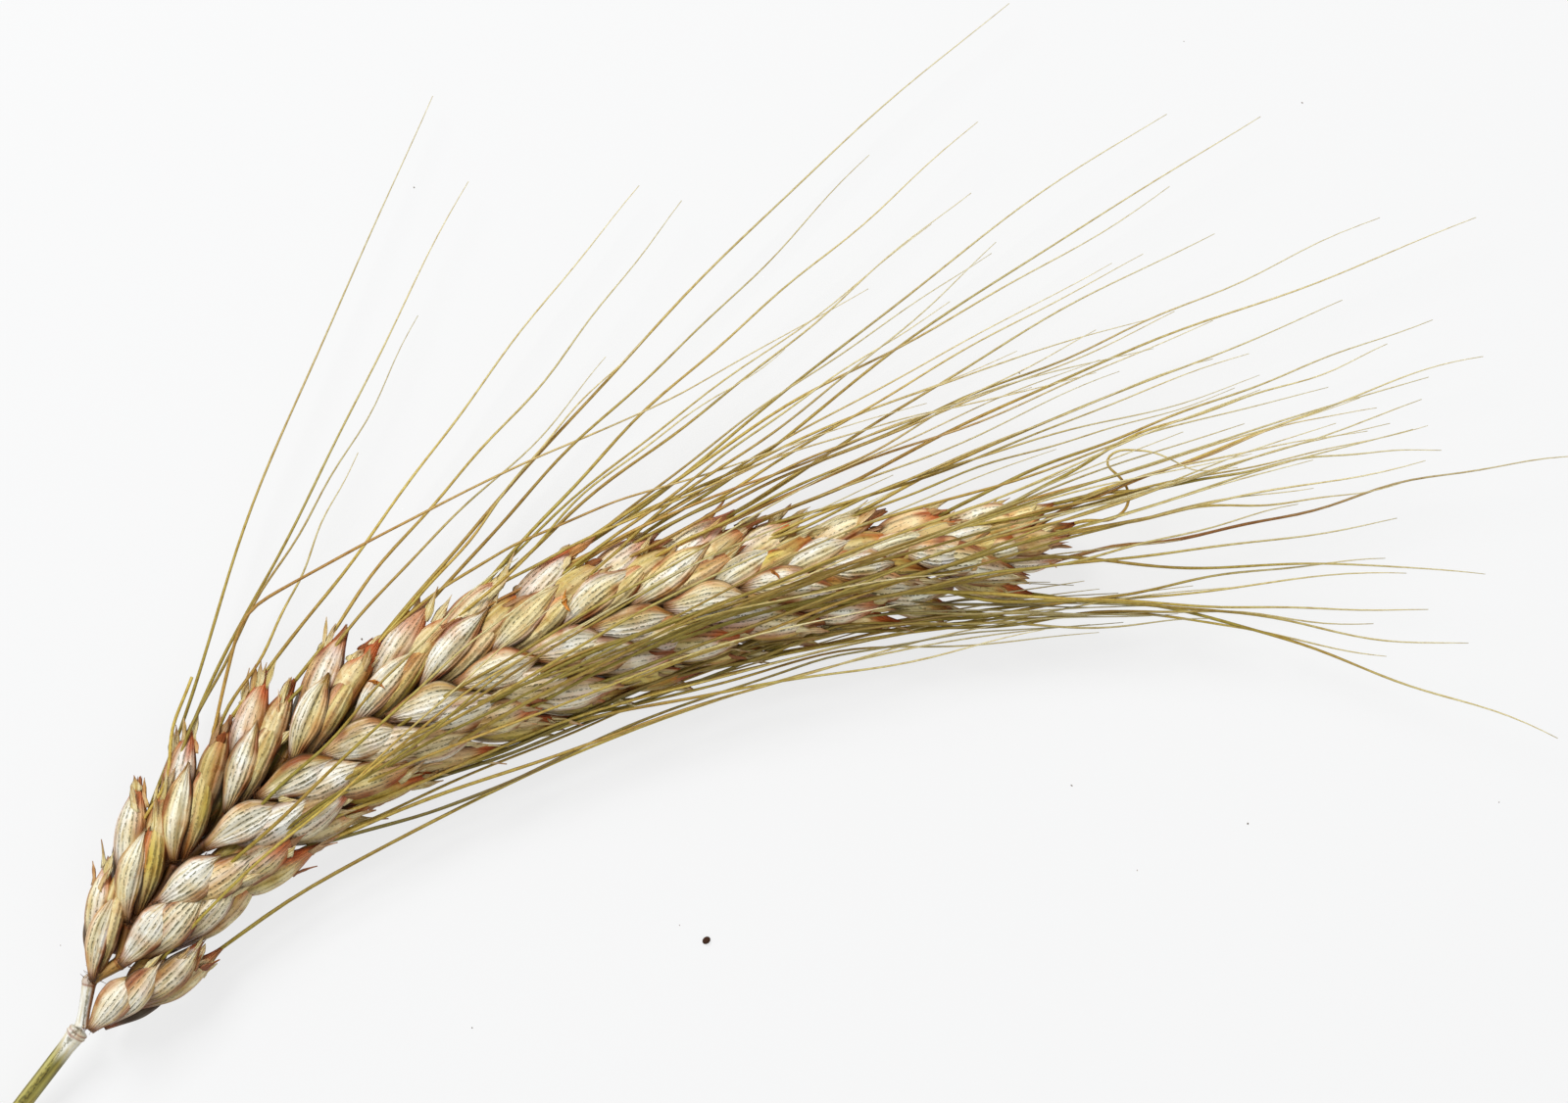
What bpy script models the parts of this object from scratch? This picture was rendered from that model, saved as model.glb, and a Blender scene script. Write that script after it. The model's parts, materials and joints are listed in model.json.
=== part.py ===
"""Ear of bearded wheat lying on a surface: stem, zigzag rachis, two rows of spikelets and their awns.

The straight line from the collar to the tip of the ear runs along +X, and +Z is up from the surface.
Lengths are in millimetres until the last step of each shape, and angles are in degrees.
"""

import math

import bmesh
import bpy
from mathutils import Matrix, Vector

MM = 0.001

# The middle line of the ear: a curve that starts steep at the collar and straightens.
HEADING_TIP = -21.4
HEADING_BEND = 58.0
BEND_LENGTH = 41.0
AXIS_STEP = 0.5

# The spikelets sit alternately on the two sides of the rachis.
ROW_COUNT = 14
FIRST_NODE = 0.5
NODE_PITCH = 3.45
EAR_ROLL_BASE = 36.0
EAR_ROLL_TIP = 10.0
SPREAD_BASE = 24.0
SPREAD_TIP = 14.0
SPREAD_UPPER_START = 0.6
SIZE_TIP = 0.64
SIZE_LOWEST = 0.86
BASE_OFFSET = 1.25

# Height of the middle line above the surface.
HEIGHT_MIDDLE = 5.2
HEIGHT_DROP = 0.9

RACHIS_RADIUS = 0.62
RACHIS_NODE_RADIUS = 0.78
RACHIS_ZIGZAG = 0.35

STEM_RADIUS = 0.85
STEM_LENGTH = 16.0
STEM_HEADING = 24.6
COLLAR_RADIUS = 1.1

# Scales of one spikelet: base and tip as (along, outward, sideways), half sizes outward and sideways,
# and how far the scale bows outward.
SCALES = {
    "glume": ((0.0, -0.1, 0.7), (8.8, -0.3, 4.2), (1.35, 1.3), 0.35),
    "lemma": ((0.9, 0.2, 0.5), (12.2, 0.7, 3.9), (1.3, 1.45), 0.45),
    "middle": ((2.2, 0.3, 0.0), (14.2, 1.3, 0.0), (1.25, 1.6), 0.5),
}
SCALE_SEGMENTS = 8
SCALE_RINGS = 5

AWN_RADIUS = 0.19
AWN_TIP_RADIUS = 0.06
AWN_GAP = 0.4
AWN_POINTS = 7

# Each awn: heading at its start and at its end, length, height of its tip, and side of the spikelet (1 up).
UPPER_AWNS = (
    (40, 38, 77, 3.0, 1),
    (36, 34, 63, 3.5, 1),
    (26, 23.5, 64, 3.0, 1),
    (24, 22, 58, 4.0, 1),
    (23, 12, 85, 3.5, 1),
    (18, 12, 68, 4.5, 1),
    (9.5, 7.5, 75, 4.0, 1),
    (7.5, 5.5, 75, 5.0, 1),
    (4, 0, 59, 5.5, 1),
    (-2, -7, 75, 5.0, 1),
    (-4, -7, 54, 6.0, 1),
    (-7.5, -10, 55, 5.0, 1),
    (-7, -9, 44, 5.5, 1),
    (-10, -13, 46, 5.0, 1),
)
LOWER_AWNS = (
    (8, -21, 90, 5.0, -1),
    (18, 10, 45, 14.5, 1),
    (0, -17, 74, 6.0, -1),
    (6, -2, 60, 16.0, 1),
    (-4, -20, 60, 7.0, -1),
    (0, -7, 80, 15.0, 1),
    (-3, -10, 88, 14.0, 1),
    (-5, -11, 80, 13.0, 1),
    (-7, -12, 72, 12.0, 1),
    (-9, -14, 66, 11.0, 1),
    (-14, -19, 56, 10.0, 1),
    (-24, -30, 52, 9.0, 1),
    (-30, -34, 50, 8.0, 1),
    (-31, -53, 54, 6.0, -1),
)
TIP_AWN = (-10, -22, 36, 8.0, 1)


def turned(heading):
    """Unit vector in the plane of the surface."""
    return Vector((math.cos(math.radians(heading)), math.sin(math.radians(heading)), 0))


def axis_heading(s):
    return HEADING_TIP + HEADING_BEND * math.exp(-s / BEND_LENGTH)


EAR_LENGTH = FIRST_NODE + NODE_PITCH * 2 * ROW_COUNT


def axis_point(s):
    """Point of the middle line at the distance s from the collar."""
    steps = max(1, round(abs(s) / AXIS_STEP))
    step = s / steps
    point = sum((turned(axis_heading(step * (i + 0.5))) * step for i in range(steps)), Vector())
    point.z = HEIGHT_MIDDLE - HEIGHT_DROP * (2 * s / EAR_LENGTH - 1) ** 2
    return point


def rolled_frame(s):
    """Directions at s, where the ear is a little twisted: along it, to its upper row, to its broad side."""
    along = turned(axis_heading(s))
    roll = EAR_ROLL_BASE + (EAR_ROLL_TIP - EAR_ROLL_BASE) * s / EAR_LENGTH
    roll = Matrix.Rotation(math.radians(-roll), 3, along)
    return along, roll @ Vector((-along.y, along.x, 0)), roll @ Vector((0, 0, 1))


def spikelet_size(share):
    """The lowest spikelets are a little smaller, and those of the upper half shrink towards the tip."""
    return 1.0 - (1 - SIZE_LOWEST) * max(0, 1 - share * 12) - (1 - SIZE_TIP) * max(0, 2 * share - 1) ** 1.4


def spikelet_spread(share, side):
    """Angle between a spikelet and the ear. The first ones of the upper row stand closer to it."""
    spread = SPREAD_BASE + (SPREAD_TIP - SPREAD_BASE) * share ** 2
    if side > 0:
        spread *= min(1, SPREAD_UPPER_START + (1 - SPREAD_UPPER_START) * share * 5)
    return math.radians(spread)


def spikelet_frame(s, side):
    """Place of a spikelet: its origin, its axes (along, outward, sideways) and its size."""
    along, across, broad = rolled_frame(s)
    size = spikelet_size(s / EAR_LENGTH)
    if side == 0:
        return axis_point(s) + along * 0.6, (along, across, broad), size
    outward = across * side
    spread = spikelet_spread(s / EAR_LENGTH, side)
    lean = along * math.cos(spread) + outward * math.sin(spread)
    out = outward * math.cos(spread) - along * math.sin(spread)
    return axis_point(s) + outward * BASE_OFFSET, (lean, out, broad), size


def node_distance(row, number):
    """Distance from the collar of a spikelet: the lower row starts first, and the rows alternate."""
    return FIRST_NODE + NODE_PITCH * (2 * number + (1 if row == "upper" else 0))


def scale_mesh(kind, side):
    """One scale as a spindle: a sphere drawn out from its base to its tip."""
    base, tip, (thick, wide), bow = SCALES[kind]
    base, tip = (Vector((p[0], p[1], p[2] * side)) for p in (base, tip))
    bm = bmesh.new()
    bmesh.ops.create_uvsphere(bm, u_segments=SCALE_SEGMENTS, v_segments=SCALE_RINGS, radius=1)
    for vert in bm.verts:
        t = (1 + vert.co.z) / 2
        slim = 1.08 - 0.25 * t
        spine = base.lerp(tip, t) + Vector((0, bow * math.sin(math.pi * t), 0))
        vert.co = spine + Vector((0, vert.co.x * thick * slim, vert.co.y * wide * slim))
    bmesh.ops.recalc_face_normals(bm, faces=bm.faces)
    return bm


def new_object(name, mesh, collection):
    obj = bpy.data.objects.new(name, mesh)
    collection.objects.link(obj)
    return obj


def spikelet_shape(guides):
    """The two glumes and the three florets of a spikelet, joined into one solid."""
    first = None
    for kind, side in (("middle", 1), ("lemma", 1), ("lemma", -1), ("glume", 1), ("glume", -1)):
        mesh = bpy.data.meshes.new(f"{kind}_{side}")
        bm = scale_mesh(kind, side)
        bm.to_mesh(mesh)
        bm.free()
        obj = new_object(mesh.name, mesh, guides)
        if first is None:
            first = obj
            continue
        union = first.modifiers.new(mesh.name, "BOOLEAN")
        union.operation, union.solver, union.object = "UNION", "EXACT", obj
    graph = bpy.context.evaluated_depsgraph_get()
    return bpy.data.meshes.new_from_object(first.evaluated_get(graph))


def tube(name, points, radii, collection, sides=2):
    """A round body along the points, with a radius at each and flat ends."""
    curve = bpy.data.curves.new(name, "CURVE")
    curve.dimensions = "3D"
    curve.bevel_depth = MM
    curve.bevel_resolution = sides
    curve.use_fill_caps = True
    spline = curve.splines.new("POLY")
    spline.points.add(len(points) - 1)
    for point, place, radius in zip(spline.points, points, radii):
        point.co = (*(place * MM), 1)
        point.radius = radius
    return new_object(name, curve, collection)


def awn_route(start, awn):
    """Points of an awn from its start, and the radius at each."""
    first, last, length, top, _ = awn
    points, radii = [start], [AWN_RADIUS]
    steps = AWN_POINTS - 1
    for i in range(steps):
        t = (i + 0.5) / steps
        point = points[-1] + turned(first + (last - first) * t) * length / steps
        t = (i + 1) / steps
        point.z = start.z + (top - start.z) * (1 - (1 - t) ** 2)
        points.append(point)
        radii.append(AWN_RADIUS + (AWN_TIP_RADIUS - AWN_RADIUS) * t)
    return points, radii


def awn_start(s, side, awn):
    """The tip of the lemma that the awn grows from, with a fine gap."""
    origin, (lean, out, broad), size = spikelet_frame(s, side)
    tip = SCALES["lemma"][1]
    return origin + (lean * (tip[0] + AWN_GAP) + out * tip[1] + broad * (tip[2] + 0.25) * awn[4]) * size


def material(name, colour, roughness):
    mat = bpy.data.materials.new(name)
    mat.use_nodes = True
    shader = mat.node_tree.nodes["Principled BSDF"]
    shader.inputs["Base Color"].default_value = (*colour, 1)
    shader.inputs["Roughness"].default_value = roughness
    return mat


def build():
    for obj in list(bpy.data.objects):
        bpy.data.objects.remove(obj)
    ear = bpy.data.collections.new("wheat_ear")
    guides = bpy.data.collections.new("guides")
    bpy.context.scene.collection.children.link(ear)
    bpy.context.scene.collection.children.link(guides)

    straw = material("straw", (0.62, 0.58, 0.42), 0.6)
    husk = material("husk", (0.66, 0.62, 0.52), 0.65)
    bristle = material("bristle", (0.42, 0.36, 0.14), 0.5)

    # The stem runs down from the collar to its cut end on the surface.
    back = turned(STEM_HEADING)
    collar = axis_point(0) - back * 0.3
    cut = collar - back * STEM_LENGTH
    cut.z = STEM_RADIUS + 0.05
    shares = (0.0, 0.03, 0.07, 0.12, 0.4, 0.7, 1.0)
    widths = (0.95, COLLAR_RADIUS, COLLAR_RADIUS, 0.9, STEM_RADIUS, STEM_RADIUS, STEM_RADIUS)
    stem = tube("stem", [collar.lerp(cut, t) for t in shares], widths, ear)

    # The rachis bends a little to each side, towards the spikelet that it carries.
    points, radii = [axis_point(0.1)], [RACHIS_RADIUS]
    for i in range(2 * ROW_COUNT):
        s = FIRST_NODE + NODE_PITCH * i + 0.4
        across = rolled_frame(s)[1]
        points.append(axis_point(s) + across * RACHIS_ZIGZAG * (-1 if i % 2 == 0 else 1))
        radii.append(RACHIS_NODE_RADIUS * (1 - 0.35 * s / EAR_LENGTH))
    rachis = tube("rachis", points, radii, ear)
    for obj in (stem, rachis):
        obj.data.materials.append(straw)

    shape = spikelet_shape(guides)
    shape.materials.append(husk)
    places = [("terminal", None, EAR_LENGTH, 0, TIP_AWN)]
    for row, side, awns in (("upper", 1, UPPER_AWNS), ("lower", -1, LOWER_AWNS)):
        places += [(row, i + 1, node_distance(row, i), side, awns[i]) for i in range(ROW_COUNT)]

    floor = bpy.data.meshes.new("surface")
    bm = bmesh.new()
    bmesh.ops.create_cube(bm, size=1, matrix=Matrix.Translation((0.07, 0, -0.5)) @ Matrix.Scale(1, 4))
    bm.to_mesh(floor)
    bm.free()
    floor = new_object("surface", floor, guides)

    for row, number, s, side, awn in places:
        label = row if number is None else f"{row}_{number:02d}"
        origin, axes, size = spikelet_frame(s, side)
        if side < 0:
            axes = (axes[0], axes[1], -axes[2])
        rows = [[axis[i] * size * MM for axis in axes] + [origin[i] * MM] for i in range(3)]
        placing = Matrix(rows + [[0, 0, 0, 1]])
        spikelet = new_object("spikelet_" + label, shape.copy(), ear)
        spikelet.matrix_world = placing
        if min((placing @ v.co).z for v in shape.vertices) < 0:
            flat = spikelet.modifiers.new("flat", "BOOLEAN")
            flat.operation, flat.solver, flat.object = "DIFFERENCE", "EXACT", floor
        route, widths = awn_route(awn_start(s, side, awn), awn)
        tube("awn_" + label, route, widths, ear, sides=1).data.materials.append(bristle)

    # The origin is under the middle of the whole ear, on the surface.
    bpy.context.view_layer.update()
    graph = bpy.context.evaluated_depsgraph_get()
    low, high = Vector((1e9,) * 3), Vector((-1e9,) * 3)
    for obj in ear.objects:
        solid = obj.evaluated_get(graph)
        mesh = solid.to_mesh()
        for vert in mesh.vertices:
            place = solid.matrix_world @ vert.co
            low = Vector(map(min, low, place))
            high = Vector(map(max, high, place))
        solid.to_mesh_clear()
    shift = Matrix.Translation((-(low.x + high.x) / 2, -(low.y + high.y) / 2, -low.z))
    for obj in [*ear.objects, *guides.objects]:
        obj.matrix_world = shift @ obj.matrix_world
    for obj in guides.objects:
        obj.hide_render = True
        obj.display_type = "WIRE"


build()
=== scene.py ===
"""Looks of a dry ear of bearded wheat on a pale surface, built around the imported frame.

Lengths are in millimetres and angles in degrees until a mesh is made. The layout repeats that of the CAD
part: the straight line from the collar to the tip of the ear runs along +X, and +Z is up from the surface.
"""

import json
import math

import bpy
import numpy as np
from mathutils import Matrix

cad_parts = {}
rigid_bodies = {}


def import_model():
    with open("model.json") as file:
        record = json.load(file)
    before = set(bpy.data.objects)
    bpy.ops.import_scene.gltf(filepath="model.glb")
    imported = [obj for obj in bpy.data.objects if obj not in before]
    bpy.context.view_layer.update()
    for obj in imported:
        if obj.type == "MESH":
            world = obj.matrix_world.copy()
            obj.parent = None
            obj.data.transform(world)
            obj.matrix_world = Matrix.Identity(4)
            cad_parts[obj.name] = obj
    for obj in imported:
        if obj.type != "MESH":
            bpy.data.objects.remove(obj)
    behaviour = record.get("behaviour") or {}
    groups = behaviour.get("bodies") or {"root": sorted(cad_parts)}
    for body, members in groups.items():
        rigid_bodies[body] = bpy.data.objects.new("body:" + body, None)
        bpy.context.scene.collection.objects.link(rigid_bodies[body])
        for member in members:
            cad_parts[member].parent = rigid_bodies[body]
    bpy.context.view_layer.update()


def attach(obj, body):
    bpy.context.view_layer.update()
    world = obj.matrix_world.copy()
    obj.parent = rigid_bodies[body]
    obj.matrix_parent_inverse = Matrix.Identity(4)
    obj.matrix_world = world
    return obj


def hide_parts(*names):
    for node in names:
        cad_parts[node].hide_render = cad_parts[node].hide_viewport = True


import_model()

MM = 0.001
SHIFT = np.array((-67.494, -11.138, 0.0))

HEADING_TIP, HEADING_BEND, BEND_LENGTH = -21.4, 58.0, 41.0
ROW_COUNT, FIRST_NODE, NODE_PITCH = 14, 0.5, 3.45
EAR_LENGTH = FIRST_NODE + NODE_PITCH * 2 * ROW_COUNT
EAR_ROLL_BASE, EAR_ROLL_TIP = 36.0, 10.0
SPREAD_BASE, SPREAD_TIP, SPREAD_UPPER_START = 24.0, 14.0, 0.6
SIZE_TIP, SIZE_LOWEST = 0.64, 0.86
BASE_OFFSET = 1.25
HEIGHT_MIDDLE, HEIGHT_DROP = 5.2, 0.9
LEMMA_TIP = (12.2, 0.7, 3.9)
AWN_RADIUS, AWN_TIP_RADIUS, AWN_GAP, AWN_RISE = 0.19, 0.035, 0.4, 0.25
BROKEN_LENGTH = 20.0  # a shorter awn is broken off, so it isn't tapered
STEM_RADIUS, STEM_LENGTH, STEM_HEADING = 0.85, 16.0, 24.6
COLLAR_RINGS = (0.010, 0.034)  # as shares of the stem's length, from its upper end
STEM_RADII = (  # share of the stem's length, radius
    (0, 0.72), (0.006, 0.93), (0.03, 0.98), (0.05, 0.90), (0.09, 0.84), (0.14, 0.80), (0.3, 0.79), (1, 0.80),
)
COLLAR_SHIFT = np.array((0.6, -0.25, 0.0))  # from the CAD part's collar to the one here
SECOND_NODE_SHIFT = np.array((-0.35, 0.45, 0.0))
RACHIS_RINGS = (0.02, 0.085)  # as shares of the way from a node to the next
HUSK_ROWS, HUSK_BACK = 23, 15  # rows of points along a husk, and points across its back
AWN_POINTS, BENT_AWN_POINTS = 34, 60
RACHIS_SIDES, STEM_SIDES, HAIR_COUNT = 16, 24, 10
SEEDS = {"lower": 100, "upper": 200, "terminal": 300}
LOWEST, SOFT_HEIGHT = 0.06, 0.5  # what is below the second is pressed up, and stays above the first
UP = np.array((0.0, 0.0, 1.0))

# Awn of each spikelet in the CAD part: heading at its start and end, length, height of its tip, side of the
# spikelet.
AWNS = {
    "upper": (
        (40, 38, 77, 3.0, 1), (36, 34, 63, 3.5, 1), (26, 23.5, 64, 3.0, 1), (24, 22, 58, 4.0, 1),
        (23, 12, 85, 3.5, 1), (18, 12, 68, 4.5, 1), (9.5, 7.5, 75, 4.0, 1), (7.5, 5.5, 75, 5.0, 1),
        (4, 0, 59, 5.5, 1), (-2, -7, 75, 5.0, 1), (-4, -7, 54, 6.0, 1), (-7.5, -10, 55, 5.0, 1),
        (-7, -9, 44, 5.5, 1), (-10, -13, 46, 5.0, 1),
    ),
    "lower": (
        (8, -21, 90, 5.0, -1), (18, 10, 45, 14.5, 1), (0, -17, 74, 6.0, -1), (6, -2, 60, 16.0, 1),
        (-4, -20, 60, 7.0, -1), (0, -7, 80, 15.0, 1), (-3, -10, 88, 14.0, 1), (-5, -11, 80, 13.0, 1),
        (-7, -12, 72, 12.0, 1), (-9, -14, 66, 11.0, 1), (-14, -19, 56, 10.0, 1), (-24, -30, 52, 9.0, 1),
        (-30, -34, 50, 8.0, 1), (-31, -53, 54, 6.0, -1),
    ),
    "terminal": ((-10, -22, 36, 8.0, 1),),
}

# Further awns, from another floret of the spikelet: row, number, floret, start and end headings, length,
# height of its tip, redness from 0 to 1.
MORE_AWNS = (
    ("upper", 1, "lemma_a", 43, 44, 19.4, 6.0, 0.2), ("upper", 2, "lemma_a", 36, 34, 51, 4.0, 0.1),
    ("upper", 3, "lemma_a", 36.5, 35, 31, 4.5, 0.1), ("upper", 4, "lemma_a", 21, 18.5, 44, 5.0, 0.1),
    ("upper", 5, "lemma_a", 23, 21, 40, 5.0, 0.1), ("upper", 6, "lemma_a", 2, -4, 60, 6.5, 0.5),
    ("upper", 7, "lemma_a", 4.5, 1, 64, 6.0, 0.2), ("upper", 7, "lemma_d", -1, -6, 58, 8.0, 0.7),
    ("upper", 8, "lemma_a", -1, -5, 60, 7.0, 0.5), ("upper", 8, "lemma_d", -3, -7, 52, 8.5, 0.3),
    ("upper", 9, "lemma_a", -3, -6.5, 56, 7.5, 0.8), ("upper", 10, "lemma_a", -5, -8, 50, 7.5, 0.2),
    ("upper", 11, "lemma_a", -9, -12, 50, 7.0, 0.1), ("upper", 12, "lemma_a", -12, -14, 46, 7.0, 0.1),
    ("upper", 13, "lemma_a", -13, -15, 45, 7.0, 0.3), ("upper", 14, "lemma_a", 2, -18, 35, 7.0, 0.9),
    ("lower", 1, "lemma_a", 17.6, 10.5, 51, 13.0, 0.1), ("lower", 2, "lemma_b", 0, -14, 70, 4.0, 0.1),
    ("lower", 3, "lemma_a", 10, 2, 50, 15.0, 0.2), ("lower", 4, "lemma_b", -2, -20, 70, 4.5, 0.1),
    ("lower", 5, "lemma_a", 6, -3, 55, 15.0, 0.1), ("lower", 6, "lemma_b", -7, -22, 66, 5.0, 0.2),
    ("lower", 7, "lemma_b", -12, -24, 50, 5.0, 0.2), ("lower", 8, "lemma_c", -6, -9, 70, 11.0, 0.1),
    ("lower", 9, "lemma_b", -14, -27, 48, 6.0, 0.2), ("lower", 10, "lemma_b", -16, -26, 60, 6.0, 0.1),
    ("lower", 11, "lemma_b", -22, -30, 50, 6.0, 0.2), ("lower", 12, "lemma_b", -18, -22, 45, 7.0, 0.1),
    ("lower", 13, "lemma_b", -26, -40, 40, 6.0, 0.1), ("lower", 14, "lemma_a", -27, -31, 45, 8.0, 0.1),
    ("lower", 2, "lemma_c", 12, 2, 50, 13.5, 0.1), ("lower", 3, "lemma_c", -3, -16, 66, 6.0, 0.1),
    ("lower", 4, "lemma_c", 3, -6, 72, 14.5, 0.1), ("lower", 5, "lemma_c", 2, -8, 66, 14.0, 0.2),
    ("lower", 5, "lemma_d", -8, -20, 58, 5.5, 0.1), ("lower", 6, "lemma_c", -1, -8, 70, 14.5, 0.1),
    ("lower", 6, "lemma_d", -10, -20, 60, 6.0, 0.1), ("lower", 7, "lemma_c", -5, -12, 64, 13.0, 0.1),
    ("lower", 7, "lemma_d", -10, -20, 62, 7.0, 0.2), ("lower", 8, "lemma_b", -13, -23, 56, 6.0, 0.1),
    ("lower", 8, "lemma_d", -8, -13, 60, 12.0, 0.2), ("lower", 9, "lemma_c", -8, -13, 60, 12.0, 0.1),
    ("lower", 10, "lemma_c", -12, -17, 52, 11.0, 0.1), ("lower", 11, "lemma_a", -12, -16, 50, 11.0, 0.2),
    ("upper", 5, "lemma_d", 14, 9, 66, 6.0, 0.1), ("upper", 6, "lemma_d", 12, 7, 62, 7.0, 0.2),
    ("upper", 9, "lemma_d", -4, -9, 54, 8.5, 0.2), ("upper", 10, "lemma_d", -7, -10, 48, 8.5, 0.1),
    ("upper", 12, "lemma_d", -8, -11, 46, 8.0, 0.2), ("upper", 13, "lemma_d", -10, -14, 42, 8.0, 0.1),
    ("terminal", 1, "lemma_b", -15, -17, 52, 6.0, 0.8), ("terminal", 1, "lemma_c", -17.7, -20, 31, 7.0, 0.2),
)

# Awns that are bent or curled: row, number, floret, headings with lengths, height of the tip, redness.
BENT_AWNS = (
    ("upper", 5, "lemma_c", ((7.6, 15.5), (-3.4, 10), (-9, 14), (-12, 16)), 7.0, 0.4),
    ("upper", 6, "lemma_c", ((3.9, 12), (-3.8, 11), (-8, 16), (-11, 18)), 8.0, 0.2),
    ("upper", 7, "lemma_c", ((2.6, 10), (-4.2, 12), (-9, 16), (-12, 18)), 8.5, 0.5),
    ("upper", 8, "lemma_c", ((4.0, 8), (-3.6, 12), (-8, 18), (-11, 16)), 9.0, 0.3),
    ("upper", 8, "lemma_b", ((1.0, 7), (-3.0, 14), (-7, 20), (-9, 16)), 7.5, 0.2),
    ("lower", 3, "lemma_b", ((-9, 20), (-5, 30), (-18, 14), (-25, 14)), 6.0, 0.1),
    ("lower", 4, "lemma_b", ((-8, 14), (-5, 32), (-20, 12), (-27, 14)), 6.0, 0.0),
    ("lower", 4, "lemma_d", ((-9, 16), (-6, 30), (-19, 12), (-26, 12)), 7.0, 0.0),
    ("lower", 5, "lemma_b", ((-6, 12), (-6, 26), (-18, 12), (-27, 20)), 6.5, 0.1),
    ("lower", 5, "lemma_d", ((-9, 12), (-7, 26), (-19, 14), (-28, 14)), 6.0, 0.2),
    ("lower", 6, "lemma_b", ((-5, 28), (-18, 12), (-27, 22)), 7.0, 0.0),
    ("lower", 6, "lemma_d", ((-9, 26), (-20, 14), (-29, 18)), 6.5, 0.2),
    ("lower", 7, "lemma_b", ((-7, 20), (-18, 14), (-27, 24)), 7.0, 0.1),
    ("lower", 8, "lemma_b", ((-9, 16), (-20, 14), (-28, 20)), 7.0, 0.3),
    ("lower", 8, "lemma_d", ((-11, 14), (-21, 14), (-30, 22)), 6.5, 0.0),
    ("lower", 9, "lemma_b", ((-12, 14), (-23, 14), (-29, 20)), 7.0, 0.2),
    ("upper", 3, "lemma_a", ((51, 6), (45.4, 7), (2, 13), (-1, 18), (-2.2, 14), (2.5, 20)), 6.0, 0.5),
    ("terminal", 1, "lemma_d", (
        (-11.6, 4), (15, 1.2), (60, 1.1), (95, 1.3), (112, 1.4), (140, 0.6), (40, 0.6), (-10, 1.2), (-40, 3),
        (-45, 4), (-20, 4),
    ), 7.0, 0.1),
)

# Places of dried anthers, along the line from the collar to the tip and to its left.
ANTHERS = ((58.7, 14.1), (77.2, 7.6), (40.0, 15.5))

# Where the front glume of each row starts, along the ear: distance from the collar, then how far it is ahead
# of its node, to the upper side of the middle line, and its angle away from the ear.
GLUME_LINES = {
    "upper": np.array((
        (4, 0.77, 0.6, 20), (10.9, 0.1, 1.28, 31), (17.8, 0.0, 1.8, 38), (24.7, -0.4, 2.1, 33),
        (31.6, 0.2, 2.4, 31), (38.5, -0.3, 2.4, 25), (52, -0.5, 2.8, 22), (66, -0.6, 2.75, 20),
        (73, -1.0, 1.8, 17), (80, -0.9, 1.6, 9), (94, -0.7, 1.0, 5),
    )),
    "lower": np.array((
        (0.5, 0.2, -1.5, 14), (7.4, 0.2, -0.84, 1), (14.3, -0.5, 0.15, 8), (21.2, -0.2, 0.86, 8),
        (28.1, -0.6, 1.45, 9), (56, -0.7, 1.6, 7), (62.6, -1.2, 1.8, 6), (70, -0.9, 1.6, 8),
        (83, -0.3, 1.5, 13), (90, 0.6, 1.6, 15),
    )),
    "terminal": np.array(((0, 0.0, 0.0, 4), (100, 0.0, 0.0, 4))),
}

# Husks of a spikelet, from the start of its front glume: base along the ear and outward, angle outward from
# that glume's, length, half width, depth, heights of base and tip above the middle line, and how far the
# back of the husk is turned outward from facing up.
HUSKS = {
    "upper": {
        "glume_b": ((0.2, 0.5), 4, 10.0, 1.65, 1.35, -1.6, -3.3, 160),
        "lemma_b": ((1.8, 1.4), 2, 10.8, 1.65, 1.1, -0.2, 0.3, 28),
        "lemma_d": ((3.2, -0.4), -9, 8.4, 1.2, 1.0, -1.2, -0.8, -20),
        "lemma_c": ((3.8, 0.8), -4, 10.2, 1.4, 1.15, 0.0, 0.6, 8),
        "lemma_a": ((0.6, -0.5), -4, 11.0, 1.32, 1.1, 0.4, 1.3, -15),
        "glume_a": ((0, 0), 0, 9.2, 1.5, 1.0, 1.1, 1.9, 20),
    },
    "lower": {
        "glume_b": ((0.5, 1.0), 14, 8.8, 1.35, 0.95, -1.4, -2.6, 150),
        "lemma_b": ((4.0, 3.0), 13, 11.4, 1.75, 1.1, -0.8, 0.4, 50),
        "lemma_d": ((4.2, 1.2), 2, 8.4, 1.4, 1.0, 0.6, 1.6, 10),
        "lemma_c": ((4.2, 2.6), 7, 10.2, 1.75, 1.1, 1.0, 2.3, 26),
        "lemma_a": ((1.5, 1.2), 5, 9.4, 1.8, 1.1, 1.6, 3.0, 18),
        "glume_a": ((0, 0), 0, 7.8, 1.8, 1.05, 2.4, 3.4, 6),
    },
    "terminal": {
        "glume_b": ((0, 0.6), 10, 7.4, 1.3, 0.95, -1.0, -1.8, 150),
        "lemma_b": ((2.4, -1.2), -18, 9.4, 1.4, 1.1, -0.4, -0.4, -60),
        "lemma_d": ((5.0, 0.0), -2, 9.0, 1.2, 1.0, 0.3, 0.6, 0),
        "lemma_c": ((3.2, 0.3), -6, 9.4, 1.4, 1.1, 0.8, 1.2, 0),
        "lemma_a": ((2.0, 1.2), 10, 9.4, 1.4, 1.1, 0.4, 0.6, 40),
        "glume_a": ((0, -0.2), -8, 7.4, 1.35, 1.0, 1.2, 1.8, -8),
    },
}


def srgb(*rgb):
    """Linear colour of 0 to 255 numbers."""
    return (np.array(rgb, float) / 255) ** 2.2


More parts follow.
